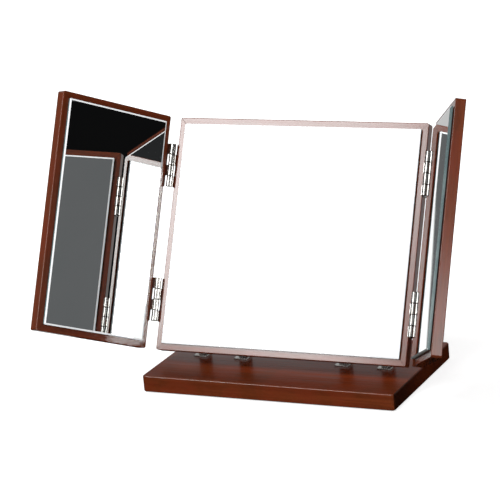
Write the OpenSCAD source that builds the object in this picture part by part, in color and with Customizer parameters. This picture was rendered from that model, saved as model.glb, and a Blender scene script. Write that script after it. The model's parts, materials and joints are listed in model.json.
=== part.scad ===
// Trifold vanity mirror on a board base: a tilting centre mirror with two folding wing mirrors.
// Millimetres. X to the right, Y away from the user, Z up; the origin is under the base centre.

/* [Base board] */
// how far the base board stands out past the centre panel on each side
base_margin = 0; // [0:1:30]
// depth of the base board, front to back
base_d = 180; // [150:1:240]
// thickness of the base board
base_t = 20; // [15:0.5:28]
// radius of the four upright corners
base_corner_r = 4; // [3.5:0.5:12]
// radius of the top and bottom arrises
base_edge_r = 1.6; // [0.5:0.1:1.7]
// thickness of the felt sheet glued under the board
felt_t = 1.5; // [1:0.1:3]
// how far the felt stops short of the board's edges
felt_inset = 6; // [4:0.5:20]
// corner radius of the felt
felt_corner_r = 3; // [1:0.5:8]

/* [Panels] */
// width of the centre panel
panel_w = 320; // [260:1:400]
// height of all three panels
panel_h = 282; // [220:1:360]
// width of each wing panel
wing_w = 159; // [128:0.5:198]
// thickness of all three panels
panel_t = 12; // [11:0.5:16]
// width of the wood border that shows round each mirror
frame_w = 8; // [7.5:0.5:14]
// how far the solid wood lipping runs on under the glass
lip_under = 2; // [1:0.5:4]
// radius of the panel's outline corners
panel_corner_r = 3; // [1:0.5:6]
// radius of the lipping's outer arrises
frame_edge_r = 0.8; // [0.3:0.1:0.9]

/* [Mirror glass] */
// thickness of the mirror glass
glass_t = 3; // [2:0.5:3]
// width of the bevel round the glass
bevel_w = 3; // [2:0.5:10]
// how far the bevel falls away at the glass edge
bevel_drop = 0.8; // [0.4:0.1:1.2]
// thickness of the foam tape that holds the glass on the panel's front
tape_t = 0.8; // [0.5:0.1:1]
// width of one strip of foam tape
tape_w = 20; // [12:1:30]
// distance of the outer tape strips from the glass bevel
tape_side = 8; // [2:1:12]
// distance of the tape's ends from the rails
tape_end = 20; // [5:1:40]

/* [Wing hinges] */
// length of one wing hinge
hinge_len = 52; // [40:1:76]
// distance from the panel's end to the hinge
hinge_end = 33.5; // [20:0.5:60]
// distance of the pin from the panel's side face
pin_out = 4.4; // [4.2:0.1:6]
// distance of the pin in front of the panel's face
pin_fwd = 4.5; // [4.2:0.1:7]
// outer radius of the hinge knuckles
knuckle_r = 3.6; // [3.3:0.1:3.9]
// diameter of the hinge pins
hinge_pin_d = 3; // [2.5:0.1:4]
// thickness of the hinge leaves
leaf_t = 1.2; // [1:0.1:1.5]
// how far a leaf reaches back over the side face
leaf_depth = 10.6; // [9:0.1:10.9]
// clearance between neighbouring knuckles
knuckle_gap = 0.3; // [0.2:0.05:0.5]
// running clearance between a pin and the knuckle that turns on it
pin_play = 0.05; // [0.03:0.01:0.1]
// fold of the left wing towards the user, from flat
left_fold = 64.5; // [0:0.5:170]
// fold of the right wing towards the user, from flat
right_fold = 62; // [0:0.5:170]

/* [Tilt stand] */
// lean of the panels back from upright
lean = 26; // [0:0.5:45]
// height of the panel's lower front edge over the base board, at this lean
panel_lift = 18.5; // [14:0.5:30]
// lower front edge of the panel, measured from the base's middle
panel_front_y = -49; // [-60:0.5:-40]
// height of the tilt pivot along the panel, from its lower edge
pivot_h = 64.5; // [60:0.5:68]
// distance of the tilt pivot behind the panel's back
pivot_back = 5.5; // [5.3:0.1:7]
// distance from the panel's side to the middle of each stand
stand_inset = 68; // [45:1:90]
// distance between the two legs of a stand, centre to centre
leg_spacing = 53.5; // [44:0.5:64]
// width of one leg
leg_w = 17; // [12:0.5:22]
// thickness of the stand and leaf plate
plate_t = 2; // [1.5:0.1:2.5]
// length of the feet, front to back
foot_len = 15; // [15:0.5:24]
// height of the crosspiece's lower edge over the base board
brace_up = 28; // [15:1:32]
// height of the crosspiece
brace_h = 24; // [12:1:28]
// outer radius of the tilt knuckles
tilt_knuckle_r = 4; // [3.8:0.1:4.6]
// diameter of the tilt pins
tilt_pin_d = 4; // [3:0.1:5]
// height of the tilt leaf plate over its knuckle
tilt_leaf_h = 46; // [36:1:60]

/* [Screws] */
// head diameter of the hinge screws
hinge_screw_head_d = 5; // [4:0.1:6]
// shank diameter of the hinge screws
hinge_screw_d = 2.5; // [2:0.1:3]
// distance of the outer hinge screws from the hinge's ends
hinge_screw_end = 8; // [6:0.5:10]
// length of the hinge screws
hinge_screw_len = 7; // [5:0.5:7]
// head diameter of the stand screws
stand_screw_head_d = 7; // [6:0.1:8]
// shank diameter of the stand screws
stand_screw_d = 3.5; // [3:0.1:4]
// distance of the stand screws from the foot's front edge
foot_screw_in = 7; // [5:0.5:9]
// distance of the leaf screws from the leaf's sides and top
leaf_screw_in = 8; // [6:0.5:9]
// distance of the lower leaf screws over the pivot
leaf_screw_up = 12; // [10:0.5:18]
// length of the screws in the base
stand_screw_len = 14; // [10:0.5:14]
// length of the screws in the panel's back
leaf_screw_len = 8; // [6:0.5:8]

/* [Hidden] */
$fn = 48;
eps = 0.01;
base_w = panel_w + 2 * base_margin;
base_top = felt_t + base_t;
panel_z = base_top + panel_lift;
lip_w = frame_w + lip_under;
wing_pin_x = panel_w / 2 + pin_out;
stand_x = panel_w / 2 - stand_inset;
pivot_n = panel_t + pivot_back;
pivot_y = panel_front_y + pivot_n * cos(lean) + pivot_h * sin(lean);
pivot_z = panel_z - pivot_n * sin(lean) + pivot_h * cos(lean);
leg_y1 = pivot_y + tilt_knuckle_r;
leg_y0 = leg_y1 - plate_t;
foot_y0 = leg_y1 - foot_len;
bend_in = 1;
bend_out = bend_in + plate_t;
mid_knuckle_w = leg_spacing - leg_w - 2 * knuckle_gap;
knuckle_pitch = hinge_len / 4;
hinge_screws_z = [hinge_screw_end, hinge_len / 2, hinge_len - hinge_screw_end];
hinge_screw_n = leaf_depth / 2 + 0.2;
leaf_root = 0.3;
hinge_head_h = leaf_t;
stand_head_h = plate_t;
foot_screw_y = foot_y0 + foot_screw_in;
leaf_screw_u = mid_knuckle_w / 2 - leaf_screw_in;
leaf_screw_v = [leaf_screw_up, tilt_leaf_h - leaf_screw_in];
pilot = 0.02;

wood_col = [0.36, 0.17, 0.11];
board_col = [0.40, 0.22, 0.15];
steel_col = [0.78, 0.78, 0.80];
mirror_col = [0.86, 0.90, 0.90];
tape_col = [0.85, 0.85, 0.82];
felt_col = [0.18, 0.16, 0.15];

// ---------- frames of reference ----------
// the centre panel: x across from its middle, y back from its front face, z up from its lower edge
module in_centre() {
  translate([0, panel_front_y, panel_z]) rotate([-lean, 0, 0]) children();
}
// a wing, flat, seen as the right-hand one: x out from its hinge pin, y and z as the panel
module in_right_wing() {
  in_centre() translate([wing_pin_x, -pin_fwd, 0]) rotate([0, 0, -right_fold]) children();
}
module in_left_wing() {
  in_centre() translate([-wing_pin_x, -pin_fwd, 0]) rotate([0, 0, left_fold])
    mirror([1, 0, 0]) children();
}

// ---------- shared shapes ----------
module rounded_rect(w, d, r) {
  union() {
    square([w - 2 * r, d], center = true);
    square([w, d - 2 * r], center = true);
    for (sx = [-1, 1], sy = [-1, 1])
      translate([sx * (w / 2 - r), sy * (d / 2 - r)]) circle(r);
  }
}
// half of a board's edge section: x from -len to 0 at the rounded edge, y from 0 to h
module edge_section(len, h, re) {
  union() {
    translate([-len, 0]) square([len - re, h]);
    translate([-len, re]) square([len, h - 2 * re]);
    translate([-re, re]) circle(re, $fn = 24);
    translate([-re, h - re]) circle(re, $fn = 24);
  }
}
// a board with rounded upright corners and rounded arrises, standing on z = 0
module soft_board(w, d, h, rc, re) {
  module corner() {
    rotate_extrude(angle = 90) intersection() {
      translate([rc, 0]) edge_section(rc, h, re);
      square([rc, h]);
    }
  }
  union() {
    translate([-(w / 2 - rc), 0, 0]) rotate([90, 0, 90]) linear_extrude(w - 2 * rc) union() {
      translate([d / 2, 0]) edge_section(d / 2, h, re);
      mirror([1, 0]) translate([d / 2, 0]) edge_section(d / 2, h, re);
    }
    for (sx = [0, 1]) mirror([sx, 0, 0])
      translate([w / 2, d / 2 - rc, 0]) rotate([90, 0, 0])
        linear_extrude(d - 2 * rc) edge_section(rc, h, re);
    for (sx = [0, 1], sy = [0, 1]) mirror([sx, 0, 0]) mirror([0, sy, 0])
      translate([w / 2 - rc, d / 2 - rc, 0]) corner();
  }
}
// a countersunk screw along +z, its head face on z = 0, with a cross recess
module csk_screw(head_d, shank_d, head_h, len) {
  difference() {
    union() {
      cylinder(d1 = head_d, d2 = shank_d, h = head_h);
      cylinder(d = shank_d, h = len - shank_d / 2);
      translate([0, 0, len - shank_d / 2]) cylinder(d1 = shank_d, d2 = 0.3, h = shank_d / 2);
    }
    for (a = [0, 90]) rotate([0, 0, a])
      translate([-head_d * 0.3, -head_d * 0.06, -1]) cube([head_d * 0.6, head_d * 0.12, 1 + head_h * 0.5]);
  }
}
module csk_hole(head_d, shank_d, head_h, len) {
  union() {
    cylinder(d1 = head_d + 2 * pilot, d2 = shank_d + 2 * pilot, h = head_h);
    translate([0, 0, -1]) cylinder(d = head_d + 2 * pilot, h = 1 + eps);
    cylinder(d = shank_d + 2 * pilot, h = len - shank_d / 2 + pilot);
    translate([0, 0, len - shank_d / 2 + pilot])
      cylinder(d1 = shank_d + 2 * pilot, d2 = 0.3, h = shank_d / 2);
  }
}

// ---------- one framed mirror panel of width w, drawn from x = 0 to w ----------
// the outline of the lipping's section: x across its width, y back from the front face
module lip_section() {
  r = frame_edge_r;
  union() {
    translate([r, 0]) square([lip_w - r, panel_t]);
    translate([0, r]) square([lip_w, panel_t - 2 * r]);
    translate([r, r]) circle(r, $fn = 24);
    translate([r, panel_t - r]) circle(r, $fn = 24);
  }
}
module panel_outline(w) {
  translate([w / 2, 0, panel_h / 2]) rotate([-90, 0, 0])
    linear_extrude(panel_t) rounded_rect(w, panel_h, panel_corner_r);
}
module mitre_block(points) {
  translate([0, panel_t + 1, 0]) rotate([90, 0, 0]) linear_extrude(panel_t + 2) polygon(points);
}
module left_stile(w) {
  intersection() {
    linear_extrude(panel_h) lip_section();
    mitre_block([[0, 0], [lip_w, lip_w], [lip_w, panel_h - lip_w], [0, panel_h]]);
    panel_outline(w);
  }
}
module right_stile(w) {
  translate([w, 0, 0]) mirror([1, 0, 0]) left_stile(w);
}
module bottom_rail(w) {
  intersection() {
    multmatrix([[0, 0, 1, 0], [0, 1, 0, 0], [1, 0, 0, 0], [0, 0, 0, 1]])
      linear_extrude(w) lip_section();
    mitre_block([[0, 0], [w, 0], [w - lip_w, lip_w], [lip_w, lip_w]]);
    panel_outline(w);
  }
}
module top_rail(w) {
  translate([0, 0, panel_h]) mirror([0, 0, 1]) bottom_rail(w);
}
module back_board(w) {
  translate([lip_w, 0, lip_w])
    cube([w - 2 * lip_w, panel_t, panel_h - 2 * lip_w]);
}
// what the bevel takes off: x in from the glass edge, y back from the glass face
module bevel_waste() {
  polygon([[-1, -1], [bevel_w, -1], [bevel_w, 0], [0, bevel_drop], [-1, bevel_drop]]);
}
// the mirror plate, taped on the panel's front, with a bevel on its front edges
module mirror_plate(w) {
  gw = w - 2 * frame_w;
  gh = panel_h - 2 * frame_w;
  translate([frame_w, -tape_t - glass_t, frame_w])
    difference() {
      cube([gw, glass_t, gh]);
      for (m = [0, 1]) {
        translate([m * gw, 0, -1]) mirror([m, 0, 0]) linear_extrude(gh + 2) bevel_waste();
        translate([-1, 0, m * gh]) mirror([0, 0, m]) multmatrix([[0, 0, 1, 0], [0, 1, 0, 0],
          [1, 0, 0, 0], [0, 0, 0, 1]]) linear_extrude(gw + 2) bevel_waste();
      }
    }
}
module mirror_tape(w) {
  step = (w - 2 * frame_w - 2 * bevel_w - tape_w) / 2 - tape_side;
  for (i = [-1, 0, 1])
    translate([w / 2 + i * step - tape_w / 2, -tape_t, frame_w + tape_end])
      cube([tape_w, tape_t, panel_h - 2 * (frame_w + tape_end)]);
}

// ---------- wing hinge, in the flat wing's frame: pin on x = 0, y = 0 ----------
// side face of this leaf's panel at x = pin_out, its front face at y = pin_fwd
module hinge_leaf(first, bore_r) {
  difference() {
    union() {
      translate([pin_out - leaf_t, pin_fwd, 0]) cube([leaf_t, leaf_depth, hinge_len]);
      for (i = [first, first + 2]) {
        z0 = i * knuckle_pitch + knuckle_gap / 2;
        kl = knuckle_pitch - knuckle_gap;
        translate([0, 0, z0]) cylinder(r = knuckle_r, h = kl);
        translate([pin_out - leaf_t, leaf_root, z0]) cube([leaf_t, pin_fwd, kl]);
      }
    }
    translate([0, 0, -1]) cylinder(r = bore_r, h = hinge_len + 2);
    for (z = hinge_screws_z) translate([pin_out - leaf_t, pin_fwd + hinge_screw_n, z])
      rotate([0, 90, 0]) csk_hole(hinge_screw_head_d, hinge_screw_d, hinge_head_h, hinge_screw_len);
  }
}
module hinge_pin() {
  cylinder(d = hinge_pin_d, h = hinge_len);
}
module hinge_screws() {
  for (z = hinge_screws_z) translate([pin_out - leaf_t, pin_fwd + hinge_screw_n, z])
    rotate([0, 90, 0]) csk_screw(hinge_screw_head_d, hinge_screw_d, hinge_head_h, hinge_screw_len);
}
module hinge_screw_holes() {
  for (z0 = [hinge_end, panel_h - hinge_end - hinge_len], z = hinge_screws_z)
    translate([pin_out - leaf_t, pin_fwd + hinge_screw_n, z0 + z])
      rotate([0, 90, 0]) csk_hole(hinge_screw_head_d, hinge_screw_d, hinge_head_h, hinge_screw_len);
}
// the centre panel's half of a hinge, seen from the pin: the wing half mirrored
module on_centre_side(side) {
  translate([side * wing_pin_x, -pin_fwd, 0]) mirror([side > 0 ? 1 : 0, 0, 0]) children();
}
module at_lower_hinge() { translate([0, 0, hinge_end]) children(); }
module at_upper_hinge() { translate([0, 0, panel_h - hinge_end - hinge_len]) children(); }

// ---------- tilt stand, in the world frame about x = 0 ----------
module tilt_stand() {
  knuckle_x = leg_spacing / 2;
  difference() {
    union() {
      for (sx = [-1, 1]) translate([sx * knuckle_x - leg_w / 2, 0, 0]) {
        translate([0, foot_y0, base_top]) cube([leg_w, foot_len - bend_out + eps, plate_t]);
        intersection() {
          translate([0, leg_y1 - bend_out, base_top + bend_out]) rotate([0, 90, 0])
            difference() {
              cylinder(r = bend_out, h = leg_w);
              translate([0, 0, -1]) cylinder(r = bend_in, h = leg_w + 2);
            }
          translate([0, leg_y1 - bend_out, base_top]) cube([leg_w, bend_out, bend_out]);
        }
        translate([0, leg_y0, base_top + bend_out - eps])
          cube([leg_w, plate_t, pivot_z - base_top - bend_out + eps]);
        translate([0, pivot_y, pivot_z]) rotate([0, 90, 0]) cylinder(r = tilt_knuckle_r, h = leg_w);
      }
      translate([-knuckle_x, leg_y0, base_top + brace_up]) cube([2 * knuckle_x, plate_t, brace_h]);
    }
    translate([-leg_spacing, pivot_y, pivot_z]) rotate([0, 90, 0])
      cylinder(d = tilt_pin_d, h = 2 * leg_spacing);
    for (sx = [-1, 1]) translate([sx * knuckle_x, foot_screw_y, base_top + plate_t])
      rotate([180, 0, 0]) csk_hole(stand_screw_head_d, stand_screw_d, stand_head_h, stand_screw_len);
  }
}
module tilt_pin() {
  w = leg_spacing + leg_w;
  translate([-w / 2, pivot_y, pivot_z]) rotate([0, 90, 0]) cylinder(d = tilt_pin_d, h = w);
}
module foot_screws() {
  for (s = [-1, 1], sx = [-1, 1])
    translate([s * stand_x + sx * leg_spacing / 2, foot_screw_y, base_top + plate_t])
      rotate([180, 0, 0]) csk_screw(stand_screw_head_d, stand_screw_d, stand_head_h, stand_screw_len);
}
// the leaf on the panel's back, in the centre panel's frame about x = 0
module tilt_leaf() {
  difference() {
    union() {
      translate([-mid_knuckle_w / 2, panel_t, pivot_h]) cube([mid_knuckle_w, plate_t, tilt_leaf_h]);
      translate([-mid_knuckle_w / 2, pivot_n, pivot_h]) rotate([0, 90, 0])
        cylinder(r = tilt_knuckle_r, h = mid_knuckle_w);
      translate([-mid_knuckle_w / 2, panel_t, pivot_h - 1]) cube([mid_knuckle_w, plate_t, 1 + eps]);
    }
    translate([-leg_spacing, pivot_n, pivot_h]) rotate([0, 90, 0])
      cylinder(d = tilt_pin_d + 2 * pin_play, h = 2 * leg_spacing);
    leaf_screw_places() csk_hole(stand_screw_head_d, stand_screw_d, stand_head_h, leaf_screw_len);
  }
}
module leaf_screw_places() {
  for (sx = [-1, 1], v = leaf_screw_v)
    translate([sx * leaf_screw_u, panel_t + plate_t, pivot_h + v]) rotate([90, 0, 0]) children();
}

// ---------- base ----------
module base_board() color(wood_col) difference() {
  translate([0, 0, felt_t]) soft_board(base_w, base_d, base_t, base_corner_r, base_edge_r);
  for (s = [-1, 1], sx = [-1, 1])
    translate([s * stand_x + sx * leg_spacing / 2, foot_screw_y, base_top + plate_t])
      rotate([180, 0, 0]) csk_hole(stand_screw_head_d, stand_screw_d, stand_head_h, stand_screw_len);
}
module base_felt() color(felt_col)
  linear_extrude(felt_t) rounded_rect(base_w - 2 * felt_inset, base_d - 2 * felt_inset, felt_corner_r);
module left_tilt_stand() color(steel_col) translate([-stand_x, 0, 0]) tilt_stand();
module right_tilt_stand() color(steel_col) translate([stand_x, 0, 0]) tilt_stand();
module left_tilt_pin() color(steel_col) translate([-stand_x, 0, 0]) tilt_pin();
module right_tilt_pin() color(steel_col) translate([stand_x, 0, 0]) tilt_pin();
module stand_foot_screws() color(steel_col) foot_screws();

// ---------- centre panel ----------
module centre_at_left() { in_centre() translate([-panel_w / 2, 0, 0]) children(); }
module centre_top_rail() color(wood_col) centre_at_left() top_rail(panel_w);
module centre_bottom_rail() color(wood_col) centre_at_left() bottom_rail(panel_w);
module centre_left_stile() color(wood_col) in_centre() difference() {
  translate([-panel_w / 2, 0, 0]) left_stile(panel_w);
  on_centre_side(-1) hinge_screw_holes();
}
module centre_right_stile() color(wood_col) in_centre() difference() {
  translate([-panel_w / 2, 0, 0]) right_stile(panel_w);
  on_centre_side(1) hinge_screw_holes();
}
module centre_back_board() color(board_col) difference() {
  centre_at_left() back_board(panel_w);
  for (s = [-1, 1]) in_centre() translate([s * stand_x, 0, 0]) leaf_screw_places()
    csk_hole(stand_screw_head_d, stand_screw_d, stand_head_h, leaf_screw_len);
}
module centre_mirror() color(mirror_col) centre_at_left() mirror_plate(panel_w);
module centre_mirror_tape() color(tape_col) centre_at_left() mirror_tape(panel_w);
module left_tilt_leaf() color(steel_col) in_centre() translate([-stand_x, 0, 0]) tilt_leaf();
module right_tilt_leaf() color(steel_col) in_centre() translate([stand_x, 0, 0]) tilt_leaf();
module tilt_leaf_screws() color(steel_col)
  for (s = [-1, 1]) in_centre() translate([s * stand_x, 0, 0]) leaf_screw_places()
    csk_screw(stand_screw_head_d, stand_screw_d, stand_head_h, leaf_screw_len);

module left_upper_hinge_centre_leaf() color(steel_col)
  in_centre() on_centre_side(-1) at_upper_hinge() hinge_leaf(0, hinge_pin_d / 2);
module left_lower_hinge_centre_leaf() color(steel_col)
  in_centre() on_centre_side(-1) at_lower_hinge() hinge_leaf(0, hinge_pin_d / 2);
module right_upper_hinge_centre_leaf() color(steel_col)
  in_centre() on_centre_side(1) at_upper_hinge() hinge_leaf(0, hinge_pin_d / 2);
module right_lower_hinge_centre_leaf() color(steel_col)
  in_centre() on_centre_side(1) at_lower_hinge() hinge_leaf(0, hinge_pin_d / 2);
module left_hinge_pins() color(steel_col) in_centre() on_centre_side(-1) {
  at_upper_hinge() hinge_pin();
  at_lower_hinge() hinge_pin();
}
module right_hinge_pins() color(steel_col) in_centre() on_centre_side(1) {
  at_upper_hinge() hinge_pin();
  at_lower_hinge() hinge_pin();
}
module centre_hinge_screws() color(steel_col) in_centre()
  for (s = [-1, 1]) on_centre_side(s) {
    at_upper_hinge() hinge_screws();
    at_lower_hinge() hinge_screws();
  }

// ---------- left wing ----------
module left_wing_at() { in_left_wing() translate([pin_out, pin_fwd, 0]) children(); }
module left_wing_top_rail() color(wood_col) left_wing_at() top_rail(wing_w);
module left_wing_bottom_rail() color(wood_col) left_wing_at() bottom_rail(wing_w);
module left_wing_outer_stile() color(wood_col) left_wing_at() right_stile(wing_w);
module left_wing_hinge_stile() color(wood_col) in_left_wing() difference() {
  translate([pin_out, pin_fwd, 0]) left_stile(wing_w);
  hinge_screw_holes();
}
module left_wing_back_board() color(board_col) left_wing_at() back_board(wing_w);
module left_wing_mirror() color(mirror_col) left_wing_at() mirror_plate(wing_w);
module left_wing_mirror_tape() color(tape_col) left_wing_at() mirror_tape(wing_w);
module left_upper_hinge_wing_leaf() color(steel_col)
  in_left_wing() at_upper_hinge() hinge_leaf(1, hinge_pin_d / 2 + pin_play);
module left_lower_hinge_wing_leaf() color(steel_col)
  in_left_wing() at_lower_hinge() hinge_leaf(1, hinge_pin_d / 2 + pin_play);
module left_wing_hinge_screws() color(steel_col) in_left_wing() {
  at_upper_hinge() hinge_screws();
  at_lower_hinge() hinge_screws();
}

// ---------- right wing ----------
module right_wing_at() { in_right_wing() translate([pin_out, pin_fwd, 0]) children(); }
module right_wing_top_rail() color(wood_col) right_wing_at() top_rail(wing_w);
module right_wing_bottom_rail() color(wood_col) right_wing_at() bottom_rail(wing_w);
module right_wing_outer_stile() color(wood_col) right_wing_at() right_stile(wing_w);
module right_wing_hinge_stile() color(wood_col) in_right_wing() difference() {
  translate([pin_out, pin_fwd, 0]) left_stile(wing_w);
  hinge_screw_holes();
}
module right_wing_back_board() color(board_col) right_wing_at() back_board(wing_w);
module right_wing_mirror() color(mirror_col) right_wing_at() mirror_plate(wing_w);
module right_wing_mirror_tape() color(tape_col) right_wing_at() mirror_tape(wing_w);
module right_upper_hinge_wing_leaf() color(steel_col)
  in_right_wing() at_upper_hinge() hinge_leaf(1, hinge_pin_d / 2 + pin_play);
module right_lower_hinge_wing_leaf() color(steel_col)
  in_right_wing() at_lower_hinge() hinge_leaf(1, hinge_pin_d / 2 + pin_play);
module right_wing_hinge_screws() color(steel_col) in_right_wing() {
  at_upper_hinge() hinge_screws();
  at_lower_hinge() hinge_screws();
}

base_board();
base_felt();
left_tilt_stand();
right_tilt_stand();
left_tilt_pin();
right_tilt_pin();
stand_foot_screws();
centre_top_rail();
centre_bottom_rail();
centre_left_stile();
centre_right_stile();
centre_back_board();
centre_mirror();
centre_mirror_tape();
left_tilt_leaf();
right_tilt_leaf();
tilt_leaf_screws();
left_upper_hinge_centre_leaf();
left_lower_hinge_centre_leaf();
right_upper_hinge_centre_leaf();
right_lower_hinge_centre_leaf();
left_hinge_pins();
right_hinge_pins();
centre_hinge_screws();
left_wing_top_rail();
left_wing_bottom_rail();
left_wing_outer_stile();
left_wing_hinge_stile();
left_wing_back_board();
left_wing_mirror();
left_wing_mirror_tape();
left_upper_hinge_wing_leaf();
left_lower_hinge_wing_leaf();
left_wing_hinge_screws();
right_wing_top_rail();
right_wing_bottom_rail();
right_wing_outer_stile();
right_wing_hinge_stile();
right_wing_back_board();
right_wing_mirror();
right_wing_mirror_tape();
right_upper_hinge_wing_leaf();
right_lower_hinge_wing_leaf();
right_wing_hinge_screws();
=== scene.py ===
"""Trifold vanity mirror: finishes, taped mirror plates, screws, pale floor, soft light and camera."""
import json
import math
import bpy
import bmesh
from mathutils import Matrix, Vector


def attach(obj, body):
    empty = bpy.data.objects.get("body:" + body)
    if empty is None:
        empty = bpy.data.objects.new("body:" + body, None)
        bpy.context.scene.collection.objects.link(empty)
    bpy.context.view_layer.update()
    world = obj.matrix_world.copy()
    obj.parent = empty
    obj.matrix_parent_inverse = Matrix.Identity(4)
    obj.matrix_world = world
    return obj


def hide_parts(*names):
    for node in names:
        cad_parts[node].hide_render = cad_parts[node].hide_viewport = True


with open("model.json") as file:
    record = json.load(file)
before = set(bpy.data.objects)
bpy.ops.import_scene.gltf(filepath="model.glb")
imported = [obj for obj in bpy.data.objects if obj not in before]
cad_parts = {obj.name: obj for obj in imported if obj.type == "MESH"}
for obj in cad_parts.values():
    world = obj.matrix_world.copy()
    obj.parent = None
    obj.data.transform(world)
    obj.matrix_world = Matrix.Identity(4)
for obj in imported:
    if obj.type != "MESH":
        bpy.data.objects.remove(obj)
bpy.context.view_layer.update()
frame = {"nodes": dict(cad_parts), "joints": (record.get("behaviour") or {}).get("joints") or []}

MM = 0.001

# ---- sizes repeated from the part's source ----
PANEL_W = 320 * MM
PANEL_H = 282 * MM
WING_W = 159 * MM
PANEL_T = 12 * MM
BORDER_W = 8 * MM
GLASS_T = 3 * MM
TAPE_T = 0.8 * MM
BEVEL_DROP = 0.8 * MM
PIN_OUT = 4.4 * MM
PIN_FORWARD = 4.5 * MM
HINGE_LEN = 52 * MM
HINGE_END = 33.5 * MM
LEAF_T = 1.2 * MM
LEAF_DEPTH = 10.6 * MM
BASE_W = 320 * MM
BASE_D = 180 * MM
BASE_TOP = 21.5 * MM
PLATE_T = 2 * MM
STAND_X = 92 * MM
LEG_SPACING = 53.5 * MM
LEG_W = 17 * MM
TILT_KNUCKLE_R = 4 * MM
FOOT_LEN = 15 * MM
FOOT_SCREW_IN = 7 * MM
LEAF_SCREW_IN = 8 * MM
LEAF_SCREW_UP = 12 * MM
TILT_LEAF_H = 46 * MM
KNUCKLE_GAP = 0.3 * MM
PIVOT_UP = 64.5 * MM
HINGE_SCREW_HEAD = 5 * MM
HINGE_SCREW_SHANK = 2.5 * MM
HINGE_SCREW_LEN = 7 * MM
HINGE_SCREW_END = 8 * MM
STAND_SCREW_HEAD = 7 * MM
STAND_SCREW_SHANK = 3.5 * MM
STAND_SCREW_LEN = 14 * MM
LEAF_SCREW_LEN = 8 * MM

# the bevel as narrow as the photo's white line; the solids' bevel is 3 mm wide
BEVEL_W = 1.9 * MM

# ---- camera, fitted to the photograph ----
CAMERA_AZIMUTH = math.radians(26.537)
CAMERA_ELEVATION = math.radians(16.570)
CAMERA_ROLL = math.radians(-5.329)
CAMERA_DISTANCE = 2.77557
CAMERA_TARGET = Vector((-0.047172, 0.0, 0.154250))
CAMERA_LENS = 169.94
SENSOR_WIDTH = 36.0
CAMERA_FAR = 50.0

# ---- studio levels ----
AMBIENT = 0.30
KEY_LEVEL = 0.78
FILL_LEVEL = 0.56
KEY_FROM = Vector((-0.30, -0.45, 0.84))
KEY_SPREAD = 30.0
FILL_FROM = Vector((0.45, -0.80, 0.40))
FILL_SPREAD = 60.0
BOX_DISTANCE = 6.0
SUN_DISTANCE = 2.0
SOFTBOX = {
    "azimuth": -31.0,
    "elevation": 31.6,
    "width": 1.26,
    "height": 1.15,
    "radiance": 16.0,
}
SIDE_BOX = {
    "azimuth": 41.0,
    "elevation": 18.0,
    "width": 2.4,
    "height": 1.8,
    "radiance": 4.9,
}
LIGHT_CENTRE = Vector((0.0, 0.0, 0.16))


def joint_named(name):
    """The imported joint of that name."""
    return next(j for j in frame["joints"] if j["name"] == name)


# =============================================================== frames of the panels
def centre_frame():
    """Centre panel: x across from its middle, y back from its front face, z up from its lower edge."""
    pin = joint_named("left_wing_fold")
    up = Vector(pin["axis"]).normalized()
    back = Vector((0.0, up.z, -up.y))
    across = Vector((1.0, 0.0, 0.0))
    corner = Vector(pin["pos_m"]) + across * (PANEL_W / 2 + PIN_OUT)
    corner = corner + back * PIN_FORWARD - up * (PANEL_H / 2)
    turn = Matrix((across, back, up)).transposed().to_4x4()
    return Matrix.Translation(corner) @ turn


def wing_frame(side):
    """A wing: x out from its hinge pin, y back, z up. Side is -1 for the left wing, 1 for the right."""
    name = "left_wing_fold" if side < 0 else "right_wing_fold"
    fold = math.radians(-joint_named(name)["range_deg"][0])
    place = Matrix.Translation((side * (PANEL_W / 2 + PIN_OUT), -PIN_FORWARD, 0.0))
    turn = Matrix.Rotation(-side * fold, 4, "Z")
    return CENTRE @ place @ turn


CENTRE = centre_frame()
WINGS = {"left": wing_frame(-1), "right": wing_frame(1)}
SIDE = {"left": -1, "right": 1}


def flipped(side):
    """The mirror image in x that makes a left wing from a right one."""
    return Matrix.Diagonal((SIDE[side], 1.0, 1.0, 1.0))


# =============================================================== node helpers
def add(tree, kind, **settings):
    """A new node with its plain properties set."""
    new = tree.nodes.new(kind)
    for key, value in settings.items():
        setattr(new, key, value)
    return new


def join(tree, output, target):
    """Links an output to an input."""
    tree.links.new(output, target)


def sum_up(tree, operation, first, second):
    """A Math node on two values, each an output or a number."""
    step = add(tree, "ShaderNodeMath", operation=operation)
    for socket, value in zip(step.inputs, (first, second)):
        if isinstance(value, (int, float)):
            socket.default_value = value
        else:
            join(tree, value, socket)
    return step.outputs[0]


def ramp(tree, value, low, high, to_low=0.0, to_high=1.0, smooth=True):
    """Value from low to high becomes to_low to to_high, clamped."""
    step = add(tree, "ShaderNodeMapRange")
    step.interpolation_type = "SMOOTHSTEP" if smooth else "LINEAR"
    join(tree, value, step.inputs["Value"])
    step.inputs["From Min"].default_value = low
    step.inputs["From Max"].default_value = high
    step.inputs["To Min"].default_value = to_low
    step.inputs["To Max"].default_value = to_high
    return step.outputs["Result"]


def tint(tree, factor, first, second, blend="MIX"):
    """Mixes two colours, each an output or a colour."""
    step = add(tree, "ShaderNodeMix", data_type="RGBA", blend_type=blend)
    if isinstance(factor, (int, float)):
        step.inputs["Factor"].default_value = factor
    else:
        join(tree, factor, step.inputs["Factor"])
    for socket, value in zip((step.inputs[6], step.inputs[7]), (first, second)):
        if isinstance(value, tuple):
            socket.default_value = (*value[:3], 1.0)
        else:
            join(tree, value, socket)
    return step.outputs[2]


def cloud(tree, vector, scale, detail=3.0, roughness=0.5, distortion=0.0):
    """A noise value over the surface."""
    step = add(tree, "ShaderNodeTexNoise")
    join(tree, vector, step.inputs["Vector"])
    step.inputs["Scale"].default_value = scale
    step.inputs["Detail"].default_value = detail
    step.inputs["Roughness"].default_value = roughness
    step.inputs["Distortion"].default_value = distortion
    return step.outputs["Fac"]


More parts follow.
